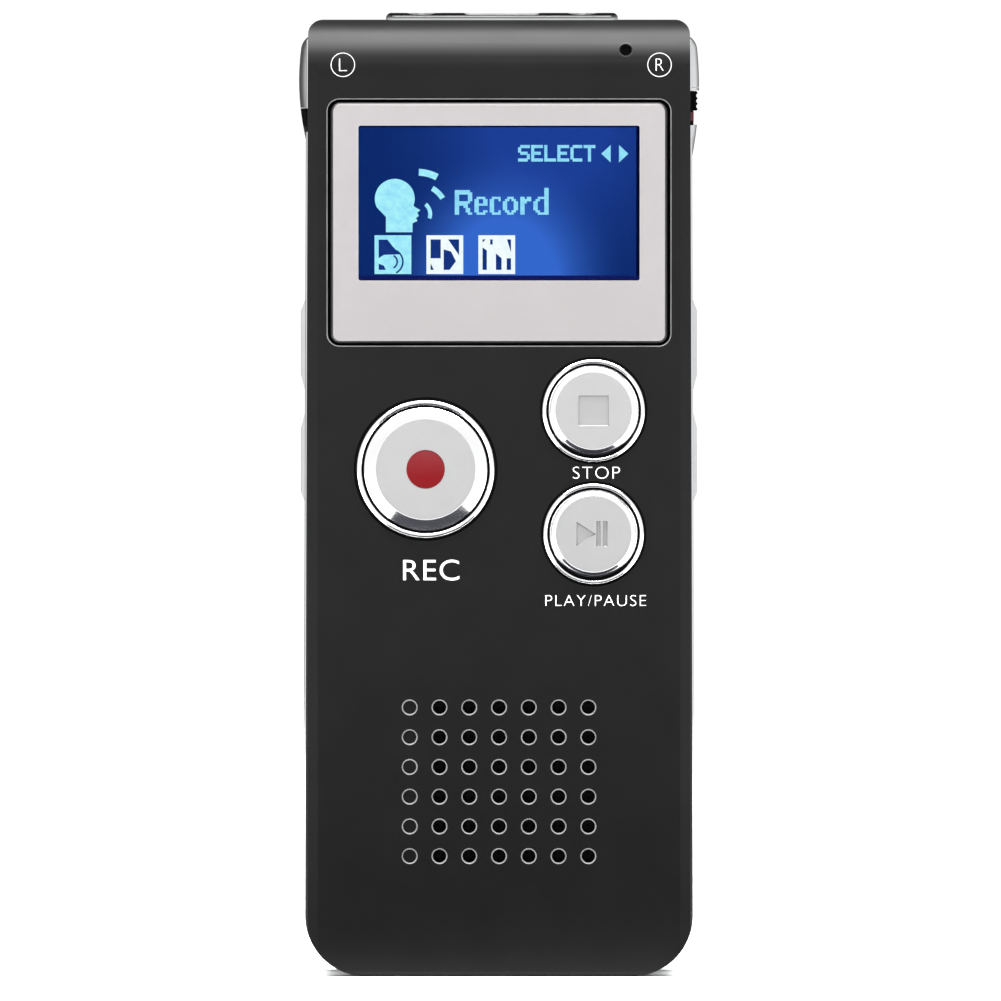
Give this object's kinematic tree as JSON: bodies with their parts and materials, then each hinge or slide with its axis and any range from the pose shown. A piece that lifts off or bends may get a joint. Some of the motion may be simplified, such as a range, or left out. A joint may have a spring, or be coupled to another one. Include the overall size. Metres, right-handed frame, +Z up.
{
  "type": "voice recorder",
  "caption": "Slim handheld voice recorder: black case on a chromed frame, blue backlit display in a silver window, round keys, side rockers and a speaker grille.",
  "frame": {"origin": "middle of the flat foot at the lower end, halfway between the front and back faces of the case", "axes": "+Z up along the recorder's length towards the jacks, -Y out of the display, +X to the right seen from the front"},
  "size_m": [0.0408, 0.0129, 0.098],
  "materials": {
    "black_anodised": "matt black anodised over a fine blasted grain",
    "black_moulding": "matt black moulding with a fine grain",
    "chrome": "bright chrome plate",
    "satin_silver": "satin silver",
    "clear_acrylic": "clear and polished",
    "lcd_blue": "backlit blue display glass",
    "red_gloss": "deep red gloss",
    "red_matt": "dark red paint",
    "black_plastic": "moulded black plastic",
    "white_plastic": "milky white",
    "steel": "bright rolled steel",
    "amber_film": "amber film",
    "board_green": "green solder mask",
    "chip_black": "black epoxy",
    "ceramic_tan": "fired tan",
    "cell_foil": "dull silver foil",
    "tape_black": "black tape",
    "wire_red": "red wire covering",
    "rubber_black": "soft black rubber",
    "cloth_black": "fine black gauze",
    "paper_cone": "black paper cone"
  },
  "bodies": {
    "case": {"battery": "cell_foil", "battery_leads": "wire_red", "battery_tape": "tape_black", "flash_chip": "chip_black", "front_cover": "black_anodised", "front_tact_switches": "black_plastic", "headphone_jack": "black_plastic", "hold_liner": "black_plastic", "hold_mark": "red_matt", "hold_switch_body": "black_plastic", "inner_chassis": "black_plastic", "jack_plate": "chrome", "lcd_backlight": "white_plastic", "lcd_flex": "amber_film", "lcd_frame": "steel", "lcd_glass": "lcd_blue", "led_lens": "clear_acrylic", "left_mic_cap": "chrome", "line_in_jack": "black_plastic", "main_board": "board_green", "mic_boots": "rubber_black", "mic_capsules": "steel", "mid_frame": "chrome", "passives": "ceramic_tan", "play_ring": "chrome", "rear_cover": "black_moulding", "rear_screws": "steel", "rec_ring": "chrome", "record_led": "red_gloss", "right_mic_cap": "chrome", "rocker_pins": "steel", "side_tact_switches": "black_plastic", "soc_chip": "chip_black", "speaker_basket": "steel", "speaker_cloth": "cloth_black", "speaker_cone": "paper_cone", "speaker_leads": "wire_red", "speaker_magnet": "steel", "stop_ring": "chrome", "strap_bar": "chrome", "usb_shell": "steel", "usb_tongue": "black_plastic", "window_bezel": "satin_silver", "window_lens": "clear_acrylic"},
    "rec_key": {"rec_cap": "chrome", "rec_inlay": "satin_silver", "rec_dot": "red_gloss", "rec_plunger": "white_plastic"},
    "stop_key": {"stop_cap": "chrome", "stop_inlay": "satin_silver", "stop_plunger": "white_plastic"},
    "play_key": {"play_cap": "chrome", "play_inlay": "satin_silver", "play_plunger": "white_plastic"},
    "volume_key": {"volume_rocker": "chrome", "volume_plungers": "white_plastic"},
    "track_key": {"track_rocker": "chrome", "track_plungers": "white_plastic"},
    "hold_slider": {"hold_knob": "black_plastic", "hold_lever": "black_plastic"}
  },
  "joints": [
    {"name": "rec_press", "type": "slide", "parent": "case", "child": "rec_key", "axis": [0, 1, 0], "range_m": [0, 0.0003], "stiffness_N_per_m": 1500, "springref_m": -0.0005},
    {"name": "stop_press", "type": "slide", "parent": "case", "child": "stop_key", "axis": [0, 1, 0], "range_m": [0, 0.0003], "stiffness_N_per_m": 1500, "springref_m": -0.0005},
    {"name": "play_press", "type": "slide", "parent": "case", "child": "play_key", "axis": [0, 1, 0], "range_m": [0, 0.0003], "stiffness_N_per_m": 1500, "springref_m": -0.0005},
    {"name": "volume_rock", "type": "hinge", "parent": "case", "child": "volume_key", "pos_m": [-0.0171, 0, 0.05845], "axis": [0, 1, 0], "range_deg": [-1.3, 1.3], "stiffness_Nm_per_rad": 0.43},
    {"name": "track_rock", "type": "hinge", "parent": "case", "child": "track_key", "pos_m": [0.0171, 0, 0.05845], "axis": [0, 1, 0], "range_deg": [-1.3, 1.3], "stiffness_Nm_per_rad": 0.43},
    {"name": "hold_slide", "type": "slide", "parent": "case", "child": "hold_slider", "axis": [0, 0, -1], "range_m": [0, 0.00135]}
  ]
}
